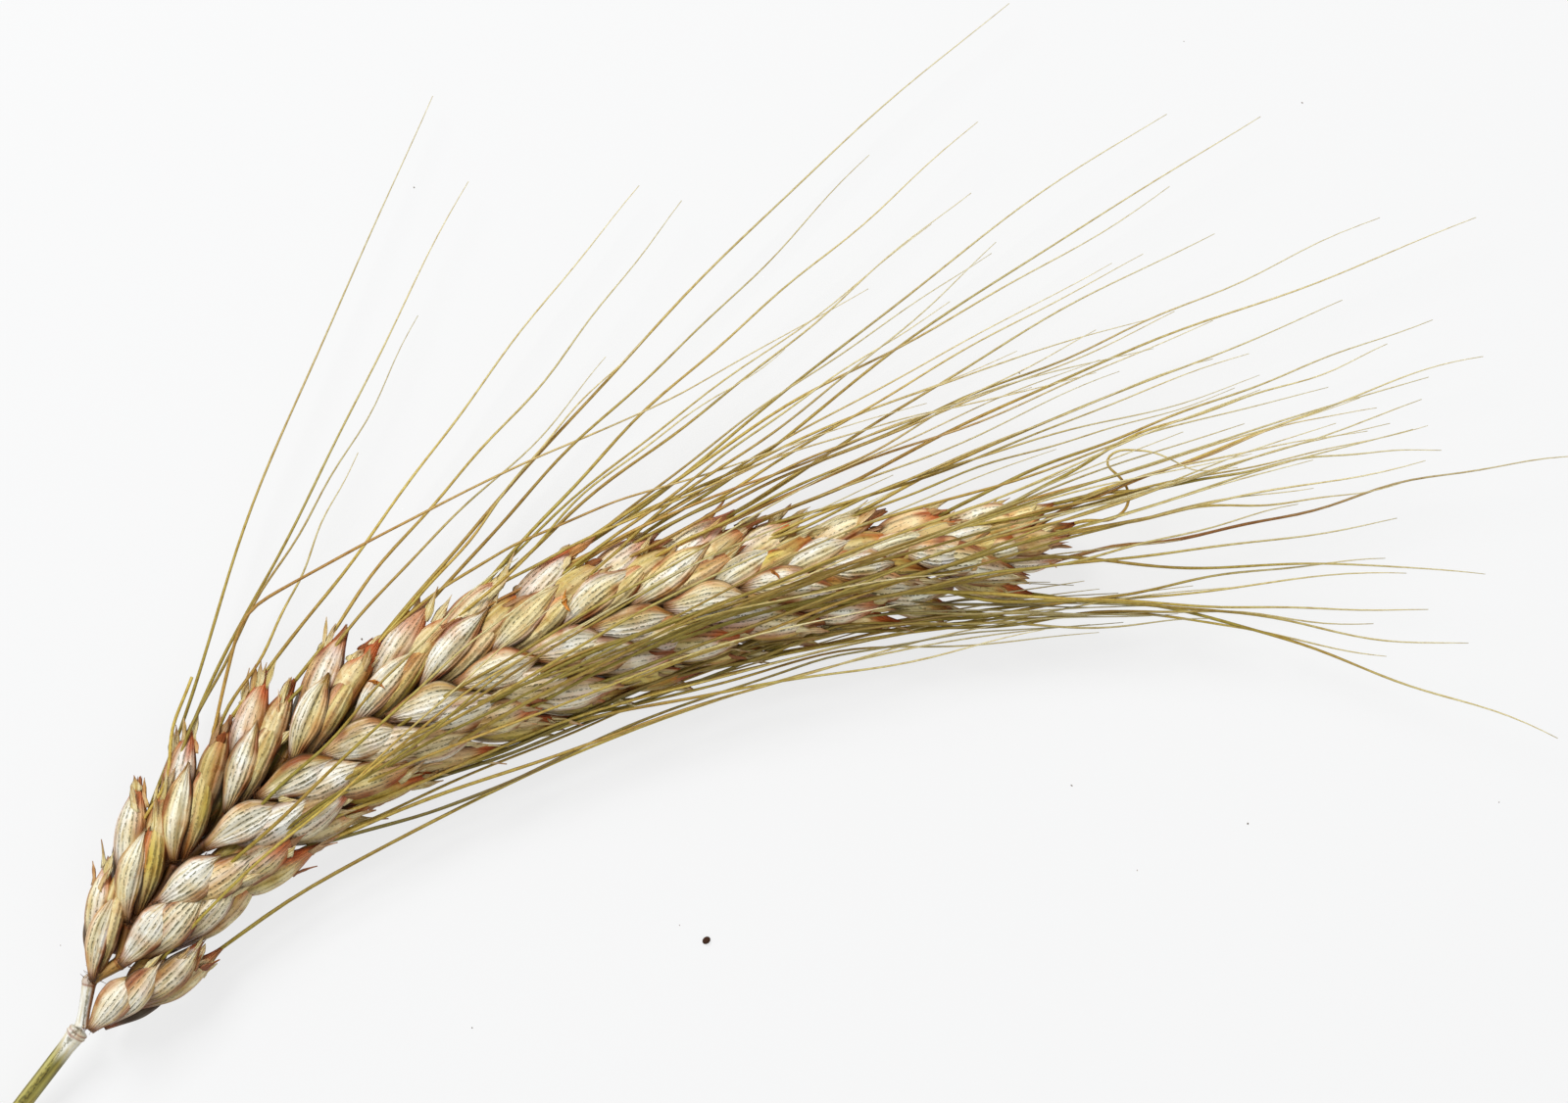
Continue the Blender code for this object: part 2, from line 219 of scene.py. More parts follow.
SILVER = srgb(248, 248, 240)
PALE = srgb(248, 242, 224)
CREAM = srgb(238, 224, 174)
YELLOW = srgb(208, 186, 80)
STRAW = srgb(182, 158, 84)
OLIVE = srgb(124, 110, 46)
PINK = srgb(214, 150, 84)
ORANGE = srgb(214, 104, 46)
RUST = srgb(146, 76, 30)
# Painted shade: dark umber for the deep parts of the husks and rachis, where shade falls
PAINTED_SHADE_UMBER = srgb(44, 36, 8)
WHITE_STRAW = srgb(236, 236, 228)
TAN = srgb(190, 148, 84)
BROWN = srgb(150, 96, 44)
DARK_BROWN = srgb(120, 74, 36)
STEM_OLIVE = srgb(168, 160, 84)
STEM_DARK = srgb(78, 74, 32)
STEM_PALE = srgb(206, 200, 140)
HAIR = srgb(206, 150, 88)
ANTHER = srgb(226, 150, 60)
AWN_GOLD = srgb(198, 176, 88)
AWN_OLIVE = srgb(144, 134, 54)
AWN_RED = srgb(150, 84, 44)
AWN_PALE = srgb(218, 210, 172)

# Colours of the husks: body, stripes, margin, tip, strength of the veins, how much of the tip is coloured.
COATS = {
    "upper_glume": (SILVER, CREAM, PINK, STRAW, 1.0, 0.3),
    "upper_lemma_a": (CREAM, YELLOW, ORANGE, RUST, 0.7, 0.5),
    "upper_lemma_b": (SILVER, CREAM, PINK, ORANGE, 0.9, 1.0),
    "upper_lemma_c": (CREAM, STRAW, RUST, ORANGE, 0.5, 1.1),
    # The upper fourth floret lies low in the gaps between spikelets: its olive and umber coat is painted
    # shade
    "upper_lemma_d": (OLIVE, PAINTED_SHADE_UMBER, PAINTED_SHADE_UMBER, RUST, 0.5, 0.8),
    "lower_glume": (SILVER, PALE, PINK, STRAW, 1.1, 0.3),
    "lower_lemma_a": (SILVER, CREAM, PINK, STRAW, 1.4, 0.4),
    "lower_lemma_b": (CREAM, YELLOW, RUST, ORANGE, 0.6, 1.0),
    "lower_lemma_c": (PALE, YELLOW, RUST, ORANGE, 1.0, 0.9),
    "lower_lemma_d": (STRAW, OLIVE, RUST, RUST, 0.8, 0.8),
}


# Layout, as in the CAD part.


def turned(heading):
    a = math.radians(heading)
    return np.array((math.cos(a), math.sin(a), 0.0))


def axis_heading(s):
    return HEADING_TIP + HEADING_BEND * math.exp(-s / BEND_LENGTH)


def axis_point(s):
    steps = max(1, round(abs(s) / 0.5))
    step = s / steps
    point = sum((turned(axis_heading(step * (i + 0.5))) * step for i in range(steps)), np.zeros(3))
    point[2] = HEIGHT_MIDDLE - HEIGHT_DROP * (2 * s / EAR_LENGTH - 1) ** 2
    return point


def rolled_frame(s):
    """Directions at s: along the ear, to its upper row, and to its broad side."""
    along = turned(axis_heading(s))
    flat = np.array((-along[1], along[0], 0.0))
    roll = math.radians(EAR_ROLL_BASE + (EAR_ROLL_TIP - EAR_ROLL_BASE) * s / EAR_LENGTH)
    return along, flat * math.cos(roll) - UP * math.sin(roll), UP * math.cos(roll) + flat * math.sin(roll)


def spikelet_size(share):
    return 1.0 - (1 - SIZE_LOWEST) * max(0, 1 - share * 12) - (1 - SIZE_TIP) * max(0, 2 * share - 1) ** 1.4


def cad_awn_start(s, side, awn):
    along, across, broad = rolled_frame(s)
    size = spikelet_size(s / EAR_LENGTH)
    if side == 0:
        origin, lean, out = axis_point(s) + along * 0.6, along, across
    else:
        outward = across * side
        spread = SPREAD_BASE + (SPREAD_TIP - SPREAD_BASE) * (s / EAR_LENGTH) ** 2
        if side > 0:
            spread *= min(1, SPREAD_UPPER_START + (1 - SPREAD_UPPER_START) * s / EAR_LENGTH * 5)
        spread = math.radians(spread)
        lean = along * math.cos(spread) + outward * math.sin(spread)
        out = outward * math.cos(spread) - along * math.sin(spread)
        origin = axis_point(s) + outward * BASE_OFFSET
    ahead, aside, above = LEMMA_TIP[0] + AWN_GAP, LEMMA_TIP[1], LEMMA_TIP[2] + AWN_RISE
    return origin + (lean * ahead + out * aside + broad * above * awn[4]) * size


def node_distance(row, number):
    return FIRST_NODE + NODE_PITCH * (2 * number + (1 if row == "upper" else 0))


# Shapes.


def unit(v):
    return v / np.linalg.norm(v, axis=-1, keepdims=True)


def smooth(low, high, x):
    t = np.clip((x - low) / (high - low), 0, 1)
    return t * t * (3 - 2 * t)


def mottle(rng, shape, cells):
    """Smooth noise of about -1 to 1 over a grid."""
    coarse = rng.uniform(-1, 1, (cells[0] + 1, cells[1] + 1))
    x = np.linspace(0, cells[0], shape[0])
    y = np.linspace(0, cells[1], shape[1])
    i, j = np.minimum(x.astype(int), cells[0] - 1), np.minimum(y.astype(int), cells[1] - 1)
    u, v = (x - i)[:, None], (y - j)[None, :]
    u, v = u * u * (3 - 2 * u), v * v * (3 - 2 * v)
    a, b = coarse[i][:, j], coarse[i + 1][:, j]
    c, d = coarse[i][:, j + 1], coarse[i + 1][:, j + 1]
    return (a * (1 - u) + b * u) * (1 - v) + (c * (1 - u) + d * u) * v


def blend(a, b, f):
    return a + (b - a) * np.asarray(f)[..., None]


def grid(points, tint, along, across, seed, grain=1.0, uv_box=(0, 0, 1, 1)):
    """A closed-round grid: rows run along the shape and columns round it. Both ends are closed."""
    rows, cols = points.shape[:2]
    faces, uvs = [], []
    u0, v0, u1, v1 = uv_box
    for i in range(rows - 1):
        ua, ub = u0 + (u1 - u0) * i / (rows - 1), u0 + (u1 - u0) * (i + 1) / (rows - 1)
        for j in range(cols):
            k = (j + 1) % cols
            va, vb = v0 + (v1 - v0) * j / cols, v0 + (v1 - v0) * (j + 1) / cols
            faces.append((i * cols + j, i * cols + k, (i + 1) * cols + k, (i + 1) * cols + j))
            uvs += [(ua, va), (ua, vb), (ub, vb), (ub, va)]
    for row, u, order in ((0, u0, -1), (rows - 1, u1, 1)):
        corners = list(range(cols))[::order]
        faces.append(tuple(row * cols + j for j in corners))
        inward = 0.004 if row == 0 else -0.004
        for j in corners:
            a = 2 * math.pi * j / cols
            uvs.append((u + inward * (1 + math.cos(a)) / 2, v0 + (v1 - v0) * (0.5 + 0.4 * math.sin(a))))
    full = np.ones((rows, cols))
    return {
        "co": points.reshape(-1, 3), "faces": faces, "uv": np.array(uvs),
        "tint": (tint * full[..., None]).reshape(-1, 3), "along": (along * full).ravel(),
        "across": (across * full).ravel(), "seed": (seed * full).ravel(), "grain": (grain * full).ravel(),
    }


LAYERS = ("along", "across", "seed", "grain")


def add_piece(name, parts, material, nodes):
    """One mesh object of the ear, in metres, from grids in millimetres."""
    start, faces = 0, []
    for part in parts:
        faces += [tuple(i + start for i in face) for face in part["faces"]]
        start += len(part["co"])
    joined = {key: np.concatenate([part[key] for part in parts]) for key in ("co", "uv", "tint", *LAYERS)}
    co = joined["co"] + SHIFT
    room = SOFT_HEIGHT - LOWEST
    pressed = LOWEST + room * np.exp((np.minimum(co[:, 2], SOFT_HEIGHT) - SOFT_HEIGHT) / room)
    co[:, 2] = np.where(co[:, 2] < SOFT_HEIGHT, pressed, co[:, 2])
    mesh = bpy.data.meshes.new(name)
    mesh.from_pydata((co * MM).tolist(), [], faces)
    layer = mesh.uv_layers.new(name="OFBake")
    layer.uv.foreach_set("vector", joined["uv"].astype(np.float32).ravel())
    tint = mesh.color_attributes.new("tint", "FLOAT_COLOR", "POINT")
    colours = np.concatenate([np.clip(joined["tint"], 0, 1), np.ones((len(co), 1))], 1)
    tint.data.foreach_set("color", colours.astype(np.float32).ravel())
    for key in LAYERS:
        mesh.attributes.new(key, "FLOAT", "POINT").data.foreach_set("value", joined[key].astype(np.float32))
    mesh.materials.append(material)
    mesh.shade_smooth()
    obj = bpy.data.objects.new(name, mesh)
    bpy.context.scene.collection.objects.link(obj)
    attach(obj, "root")
    if nodes:
        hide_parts(*nodes)
    return obj


def husk_section(kind):
    """Angles round a husk from the middle of its back, how far out its wall is, and where the back ends."""
    if kind.startswith("glume"):  # an open shell: its inner face runs back inside the outer one
        reach = math.radians(112 if kind == "glume_a" else 160)
        inside, wall = np.linspace(reach * 0.93, -reach * 0.93, 7), 0.86
    else:
        reach = math.radians(132)
        inside, wall = np.linspace(math.radians(142), math.radians(218), 4), 0.84
    angle = np.concatenate([np.linspace(-reach, reach, HUSK_BACK), inside])
    return angle, np.concatenate([np.ones(HUSK_BACK), np.full(len(inside), wall)]), reach


def husk_width(glume, row, t):
    """Width of a husk along its length, as a share of its greatest."""
    if glume:
        widest = 0.58 if row == "lower" else 0.48
        return (0.24 + 0.76 * smooth(-0.08, widest, t)) * (1 - 0.95 * smooth(widest + 0.04, 1.05, t) ** 1.5)
    return (0.28 + 0.72 * smooth(-0.05, 0.44, t)) * (1 - 0.86 * smooth(0.52, 1.03, t) ** 1.3)


def husk_tint(rng, kind, coat, a, t, reach, share):
    """Colours of a husk and the strength of its veins, for angles a round it and shares t of its length.

    It has a pale striped back, half of it golden, a rusty base, coloured margins and a coloured tip.
    Painted shade darkens its sides turned away, its foot and the deep lower half of a floret, and painted
    light lifts the husks near the ear's tip.
    """
    body, stripe, margin, end, grain, reddish = coat
    glume = kind.startswith("glume")
    shape = np.broadcast(t, a).shape
    flat = np.zeros(shape)
    edge = np.abs(a) / reach + flat
    noise = mottle(rng, shape, (6, 5))
    warm = rng.uniform(-1, 1)
    wide = rng.choice((-1, 1))  # the side of the broader coloured margin
    turned_away = np.degrees(np.abs(a)) + flat

    striped = np.clip(0.25 + 0.25 * warm + 0.9 * mottle(rng, shape, (2, 9)), 0, 0.9)
    tint = blend(body * np.ones(shape + (1,)), stripe, striped)
    golden = smooth(-0.1, 0.6, wide * a + 0.35 * noise - 0.3 * (t - 0.5)) * rng.uniform(0.3, 0.8)
    tint = blend(tint, blend(CREAM, YELLOW, np.clip(0.4 + 0.8 * mottle(rng, shape, (2, 12)), 0, 1)), golden)
    tint = blend(tint, STRAW, np.clip(0.15 + 0.3 * noise - 0.3 * t + 0.1 * warm, 0, 0.6))
    for _ in range(3):
        off_line = a - rng.uniform(-0.9, 0.9) - 0.3 * (t - 0.5)
        line = np.exp(-((off_line / 0.10) ** 2)) * smooth(0.05, 0.3, t)
        tint = blend(tint, OLIVE if glume else RUST * 1.3, np.clip(line * rng.uniform(0.1, 0.8), 0, 0.8))
    blush = np.clip(1.1 * mottle(rng, shape, (5, 4)) - 0.25, 0, 1)
    blush = blush + 0.5 * smooth(0.3, 0.05, t) + 0.45 * smooth(0.8, 1.0, t)
    tint = blend(tint, margin, np.clip(blush * rng.uniform(0.2, 0.7), 0, 0.7))

    for sign in (-1, 1):
        first = rng.uniform(14, 32) if sign == wide else rng.uniform(30, 48)
        rim = smooth(first, first + 20, sign * np.degrees(a) + 10 * noise - 12 * (1 - t))
        rim = rim * smooth(0.0, 0.2, t) * rng.uniform(0.7, 1.0) * (0.9 + 0.5 * mottle(rng, shape, (7, 2)))
        colour = blend(margin, RUST, np.clip(1.6 * rim - 0.6 + 0.6 * noise, 0, 1))
        tint = blend(tint, colour, np.clip(rim, 0, 0.95))
    # Painted shade: the sides of a husk turned away from above darken to umber, less so towards the ear's
    # tip
    tint = blend(tint, PAINTED_SHADE_UMBER, 0.9 * smooth(60, 86, turned_away + 8 * noise - 16 * share**2))
    if not glume:  # the lower half of a floret lies deep between the others
        # Painted shade: rust and umber over the lower half stand for the shade deep between the florets
        deep_shade = smooth(0.5, 0.12, t + 0.1 * noise) * (0.45 if kind == "lemma_a" else 0.8)
        tint = blend(tint, blend(RUST, PAINTED_SHADE_UMBER, flat + 0.6), deep_shade)

    reddish = reddish * rng.uniform(0.4, 1.0)
    ragged = t + 0.12 * mottle(rng, shape, (3, 12)) + 0.05 * edge
    ends = smooth(0.96 - 0.34 * reddish, 1.0 - 0.14 * reddish, ragged)
    colour = blend(end, RUST, 0.2 + 0.5 * smooth(0.85, 1.0, t) + flat)
    tint = blend(tint, colour, np.clip(ends * rng.uniform(0.5, 1.0), 0, 0.95))
    tint = blend(tint, RUST, 0.8 * smooth(0.22, 0.02, t + 0.06 * noise - 0.06 * edge))
    # Painted shade: umber at the very foot of each husk, where it sits deep against the rachis
    tint = blend(tint, PAINTED_SHADE_UMBER, 0.6 * smooth(0.10, 0.0, t) + flat)
    tint[:, HUSK_BACK:] = blend(tint, STRAW * 0.7, flat + 0.6)[:, HUSK_BACK:]
    # Random warmth for each husk, and painted light that lifts the husks towards the ear's tip, where awns
    # shade them
    tint = tint * (1 + 0.05 * warm + 0.2 * share**2)

    veined = 1 - 0.8 * smooth(0.26, 0.5, edge + 0.12 * noise)
    veined = veined * smooth(0.0, 0.25, t) * (0.35 + 0.65 * smooth(1.0, 0.7, t + 0.1 * noise))
    return tint, grain * veined


def husk(rng, place, kind, row):
    """A boat-shaped scale. A glume is an open shell, and a floret is closed round and torn at its tip."""
    start, way, front, length, half, depth, size, share = place
    half, depth = half * rng.uniform(0.95, 1.06), depth * rng.uniform(0.93, 1.07)
    side = np.cross(way, front)
    glume = kind.startswith("glume")
    angle, shell, reach = husk_section(kind)
    shape = (HUSK_ROWS, len(angle))
    t, a = (np.linspace(0, 1, HUSK_ROWS) ** 0.9)[:, None], angle[None, :]

    keel = rng.uniform(0.1, 0.3) if glume else rng.uniform(-0.2, 0.2)
    ridge = 0.13 * np.exp(-(((a - keel) / 0.22) ** 2)) * smooth(0.05, 0.4, t)
    ribs = 0.018 * np.cos(a * 7 + rng.uniform(0, 6)) * smooth(0, 0.2, t)
    lumps = 0.05 * mottle(rng, shape, (5, 4))
    radial = husk_width(glume, row, t) * shell[None, :] * (1 + ridge + ribs + lumps)
    bow = (0.55 if glume else 0.75) * size * np.sin(math.pi * t**0.85) + rng.uniform(-0.25, 0.25) * t**2
    sway = rng.uniform(-0.3, 0.3) * np.sin(math.pi * t) + rng.uniform(-0.35, 0.35) * t**2
    twist = rng.uniform(-0.12, 0.12) * t
    x = half * radial * np.sin(a + twist) + sway
    y = depth * radial * np.cos(a + twist) + bow
    teeth = smooth(0.8, 1.0, t) * rng.uniform(-0.7, 0.3, (1, len(angle))) * size * (0.4 if glume else 1.0)
    points = start + way * (length * t + teeth)[..., None] + side * x[..., None] + front * y[..., None]

    family = "upper" if row == "terminal" else row
    coat = COATS[f"{family}_{'glume' if glume else kind}"]
    tint, grain = husk_tint(rng, kind, coat, a, t, reach, share)
    parts = [grid(points, tint, t * length, a / reach * half, rng.uniform(0, 50), grain)]
    if not glume:
        parts += torn_flaps(rng, kind, points, (way, side, front), size, coat[2])
    tip = start + way * length * 0.985 + side * float(sway[-1, 0]) + front * float(bow[-1, 0])
    return parts, tip, way


def torn_flaps(rng, kind, points, axes, size, margin):
    """Papery flaps near the tip of a floret."""
    way, side, front = axes
    made = []
    for _ in range(rng.integers(3, 7) if kind in ("lemma_b", "lemma_c") else rng.integers(0, 3)):
        i, j = rng.integers(HUSK_ROWS - 8, HUSK_ROWS - 2), rng.integers(2, HUSK_BACK - 2)
        lean = unit(way + side * rng.uniform(-0.3, 0.3) + front * rng.uniform(-0.1, 0.15))
        face = unit(front - lean * (front @ lean))
        colour = blend(margin, CREAM, rng.random()) if rng.random() < 0.5 else CREAM
        length, half = rng.uniform(1.4, 3.6) * size, rng.uniform(0.25, 0.6) * size
        made.append(scrap(rng, points[i, j] - lean * 0.4, lean, face, length, half, colour))
    return made


def scrap(rng, start, way, front, length, half, colour):
    """A thin torn flap at the end of a husk."""
    rows, cols = 7, 6
    t = np.linspace(0, 1, rows)[:, None]
    a = np.linspace(0, 2 * math.pi, cols, endpoint=False)[None, :]
    side = np.cross(way, front)
    width = half * (1 - 0.96 * t**1.6) * (1 + 0.3 * np.sin(t * rng.uniform(5, 9) + rng.uniform(0, 6)))
    x = width * np.cos(a) + rng.uniform(-0.4, 0.4) * t**2
    y = 0.07 * np.sin(a) + rng.uniform(-0.3, 0.5) * t**2
    points = start + way * (length * t[..., None]) + side * x[..., None] + front * y[..., None]
    rusty = smooth(0.3, 1.0, t) * rng.uniform(0.0, 0.9) + 0 * a
    tint = blend(colour * np.ones((rows, cols, 1)), RUST, rusty)
    return grid(points, tint, t * length, x, rng.uniform(0, 50), 0.4)


def tube(points, radii, tint, seed, sides=6, uv_box=(0, 0, 1, 1)):
    """A round body along the points."""
    points, radii = np.asarray(points, float), np.asarray(radii, float)
    ahead = unit(np.gradient(points, axis=0))
    side = unit(np.cross(ahead, UP))
    top = np.cross(side, ahead)
    a = np.linspace(0, 2 * math.pi, sides, endpoint=False)
    ring = side[:, None] * np.cos(a)[None, :, None] + top[:, None] * np.sin(a)[None, :, None]
    mesh = points[:, None] + ring * radii[:, None, None]
    steps = np.linalg.norm(np.diff(points, axis=0), axis=1)
    along = np.concatenate([[0], np.cumsum(steps)])[:, None]
    tint = np.asarray(tint, float)
    if tint.ndim == 1:
        tint = tint * np.ones((len(points), 1))
    tint = tint[:, None] * np.ones((1, sides, 1))
    return grid(mesh, tint, along, a[None, :] / math.pi - 1, seed, 1.0, uv_box)


def hairs(rng, start, way):
    """Short rusty hairs at the foot of a spikelet."""
    made = []
    t = np.linspace(0, 1, 5)[:, None]
    for _ in range(HAIR_COUNT):
        lean = unit(way * rng.uniform(0.2, 1.0) + rng.uniform(-0.9, 0.9, 3) + UP * 0.3)
        root = start + rng.uniform(-0.7, 0.7, 3) * (1, 1, 0.4)
        points = root + lean * (t * rng.uniform(0.8, 1.7)) + rng.uniform(-0.4, 0.4, 3) * t**2
        colour = blend(HAIR, RUST, rng.random())
        made.append(tube(points, 0.05 * (1 - 0.75 * t[:, 0]), colour, rng.uniform(0, 50), sides=3))
    return made


def bent_headings(bends, middles):
    """Heading at each share of the length of an awn that bends at the joins of its stretches."""
    ends = np.cumsum([length for _, length in bends])
    at = np.minimum(np.searchsorted(ends, middles * ends[-1]), len(bends) - 1)
    headings = np.array([bends[i][0] for i in at], float)
    for _ in range(3):
        headings[1:-1] = headings[1:-1] * 0.5 + (headings[:-2] + headings[2:]) * 0.25
    return headings, ends[-1]


def awn(rng, start, way, spec, redness, thick, box, low, cad_start=None):
    """A bristle from the tip of a floret. It leaves along the floret and bends to its own heading."""
    bent = isinstance(spec[0], tuple)
    count = BENT_AWN_POINTS if bent else AWN_POINTS
    t = np.linspace(0, 1, count)
    middles = (t[:-1] + t[1:]) / 2
    if bent:
        bends, top = spec
        headings, length = bent_headings(bends, middles)
        first, last = headings[0], headings[-1]
    else:
        first, last, length, top = spec[:4]
        headings = first + (last - first) * middles
    step = length / (count - 1)
    origin = start if cad_start is None else cad_start
    points = [np.array(origin, float)]
    for heading in headings:
        points.append(points[-1] + turned(heading) * step)
    points = np.array(points)
    points[:, 2] = origin[2] + (top - origin[2]) * (1 - (1 - t) ** 2)
    if cad_start is not None:  # it starts at the floret and joins the line of the CAD part's awn by its tip
        points += (start - cad_start) * ((1 - t) ** 2)[:, None]
    else:
        flat = turned(first)
        points += (way - flat * (way @ flat)) * (t * (1 - t) ** 6 * 7)[:, None]

    across = np.cross(UP, turned((first + last) / 2))
    wave = 0.45 * np.sin(t * rng.uniform(5, 9) + rng.uniform(0, 6))
    wave = wave + 0.15 * np.sin(t * rng.uniform(14, 24) + rng.uniform(0, 6))
    lift = 0.3 * np.sin(t * rng.uniform(4, 8) + rng.uniform(0, 6))
    strength = smooth(0, 0.15, t) * rng.uniform(0.5, 1.2)
    points += (across[None, :] * wave[:, None] + UP[None, :] * lift[:, None]) * strength[:, None]

    radii = thick * (AWN_TIP_RADIUS + (AWN_RADIUS - AWN_TIP_RADIUS) * (1 - t) ** (0.65 if low else 0.9))
    radii = radii * (1 + 0.05 * np.sin(t * 60 + rng.uniform(0, 6)))
    if length < BROKEN_LENGTH:
        radii = thick * AWN_RADIUS * (1.15 - 0.2 * t)
    tint = awn_tint(rng, t, redness, low, length > BROKEN_LENGTH)
    tint = tint * (rng.uniform(0.5, 0.8) if low and bent else rng.uniform(0.9, 1.15))
    return tube(points, radii, tint, rng.uniform(0, 50), uv_box=box)


def awn_tint(rng, t, redness, low, fading):
    """Colours along an awn: gold with green and red stretches, and pale towards a whole tip."""
    green = rng.uniform(0.3, 1.0) if low else rng.uniform(0.1, 0.7)
    green = np.clip(green + 0.5 * mottle(rng, (len(t), 2), (6, 1))[:, 0], 0, 1) * (1 - t**2)
    tint = blend(AWN_GOLD * np.ones((len(t), 1)), AWN_OLIVE, green)
    red = np.exp(-(((t - rng.uniform(0.15, 0.6)) / rng.uniform(0.08, 0.2)) ** 2)) * rng.uniform(0.2, 0.7)
    tint = blend(tint, AWN_RED, np.clip(redness * 0.8 + red * 0.6, 0, 0.9) * (1 - 0.6 * t))
    if fading:
        tint = blend(tint, AWN_PALE, smooth(0.5 if low else 0.3, 1.0, t) * rng.uniform(0.7, 1.0))
    return tint


# Materials.

FIBRE_SHADE = (0.66, 0.53, 0.26, 1)
BAND_SHADE = (0.76, 0.66, 0.30, 1)
STAIN_SHADE = (0.80, 0.54, 0.30, 1)
VEIN_SHADE = (0.20, 0.20, 0.14, 1)
SPECK_SHADE = (0.20, 0.12, 0.07, 1)


def make_material(name, roughness, stretch, streak, vein, speck, bump, height):
    """Tint of the mesh with fibres along the shape, darker veins, fine specks and a fibrous surface."""
    mat = bpy.data.materials.new(name)
    mat.use_nodes = True
    tree = mat.node_tree
    shader = tree.nodes["Principled BSDF"]
    shader.inputs["Roughness"].default_value = roughness
    shader.inputs["Specular IOR Level"].default_value = 0.35

    def node(kind, **inputs):
        made = tree.nodes.new(kind)
        for key, value in inputs.items():
            if isinstance(value, bpy.types.NodeSocket):
                tree.links.new(value, made.inputs[key.replace("_", " ")])
            else:
                made.inputs[key.replace("_", " ")].default_value = value
        return made

    def attribute(key):
        made = tree.nodes.new("ShaderNodeAttribute")
        made.attribute_name = key
        return made.outputs["Color" if key == "tint" else "Fac"]

    def math_node(operation, a, b):
        made = tree.nodes.new("ShaderNodeMath")
        made.operation = operation
        for i, value in enumerate((a, b)):
            if isinstance(value, bpy.types.NodeSocket):
                tree.links.new(value, made.inputs[i])
            else:
                made.inputs[i].default_value = value
        return made.outputs[0]

    along, across, seed, grain, tint = (attribute(key) for key in (*LAYERS, "tint"))

    def noise(scale_along, scale_across, detail, offset):
        place = node(
            "ShaderNodeCombineXYZ", X=math_node("MULTIPLY", along, scale_along),
            Y=math_node("MULTIPLY", across, scale_across), Z=math_node("ADD", seed, offset),
        )
        made = node("ShaderNodeTexNoise", Vector=place.outputs[0], Scale=1.0, Detail=detail, Roughness=0.6)
        return made.outputs["Fac"]

    def spread(value, low, high, to_low, to_high):
        made = node("ShaderNodeMapRange", Value=value)
        for key, number in (("From Min", low), ("From Max", high), ("To Min", to_low), ("To Max", to_high)):
            made.inputs[key].default_value = number
        return made.outputs[0]

    def mixed(kind, factor, a, b):
        made = tree.nodes.new("ShaderNodeMix")
        made.data_type, made.blend_type = "RGBA", kind
        for i, value in ((0, factor), (6, a), (7, b)):
            if isinstance(value, bpy.types.NodeSocket):
                tree.links.new(value, made.inputs[i])
            else:
                made.inputs[i].default_value = value
        return made.outputs[2]

    fibres = noise(stretch[0], stretch[1], 3.0, 0.0)
    patches = noise(stretch[0] * 0.5, 0.7, 1.0, 7.0)
    wander = math_node("ADD", math_node("MULTIPLY", across, stretch[2]), math_node("MULTIPLY", fibres, 4.0))
    veins = math_node("MULTIPLY", math_node("SINE", wander, 0.0), patches)
    dots = noise(stretch[0] * 6.5, stretch[1] * 2.0, 1.0, 13.0)
    dotted = math_node("MULTIPLY", spread(veins, 0.22, 0.42, 0.0, vein), spread(dots, 0.44, 0.54, 0.12, 1.0))
    specks = noise(stretch[0] * 7, stretch[1] * 2.5, 1.0, 21.0)
    colour = mixed("MULTIPLY", spread(fibres, 0.33, 0.56, streak, 0.0), tint, FIBRE_SHADE)
    bands = noise(stretch[0] * 0.4, stretch[1] * 0.42, 1.0, 31.0)
    stains = noise(stretch[0] * 1.6, stretch[1] * 0.22, 2.0, 41.0)
    softer = math_node("SUBTRACT", 1.35, grain)
    banded = math_node("MULTIPLY", spread(bands, 0.50, 0.60, 0.0, streak), softer)
    stained = math_node("MULTIPLY", spread(stains, 0.54, 0.66, 0.0, streak), softer)
    colour = mixed("MULTIPLY", banded, colour, BAND_SHADE)
    colour = mixed("MULTIPLY", stained, colour, STAIN_SHADE)
    colour = mixed("MULTIPLY", math_node("MULTIPLY", dotted, grain), colour, VEIN_SHADE)
    colour = mixed("MULTIPLY", spread(specks, 0.68, 0.74, 0.0, speck), colour, SPECK_SHADE)
    tree.links.new(colour, shader.inputs["Base Color"])
    surface = math_node("ADD", math_node("MULTIPLY", fibres, 0.8), math_node("MULTIPLY", veins, 0.5))
    relief = node("ShaderNodeBump", Strength=bump, Distance=height, Height=surface)
    tree.links.new(relief.outputs["Normal"], shader.inputs["Normal"])
    return mat


# Each has its roughness, scales of the fibres along and across and of the veins, and strengths of the
# fibres, veins, specks and relief, then the height of the relief in metres.
HUSK = make_material("husk", 0.48, (0.55, 6.0, 26.0), 0.65, 0.95, 0.8, 0.8, 0.00016)
BRISTLE = make_material("bristle", 0.48, (1.6, 1.3, 6.0), 0.7, 0.4, 0.35, 0.5, 0.00005)
STRAW_MAT = make_material("straw", 0.5, (0.35, 5.0, 12.0), 0.8, 0.7, 0.3, 0.6, 0.0001)


# The ear.


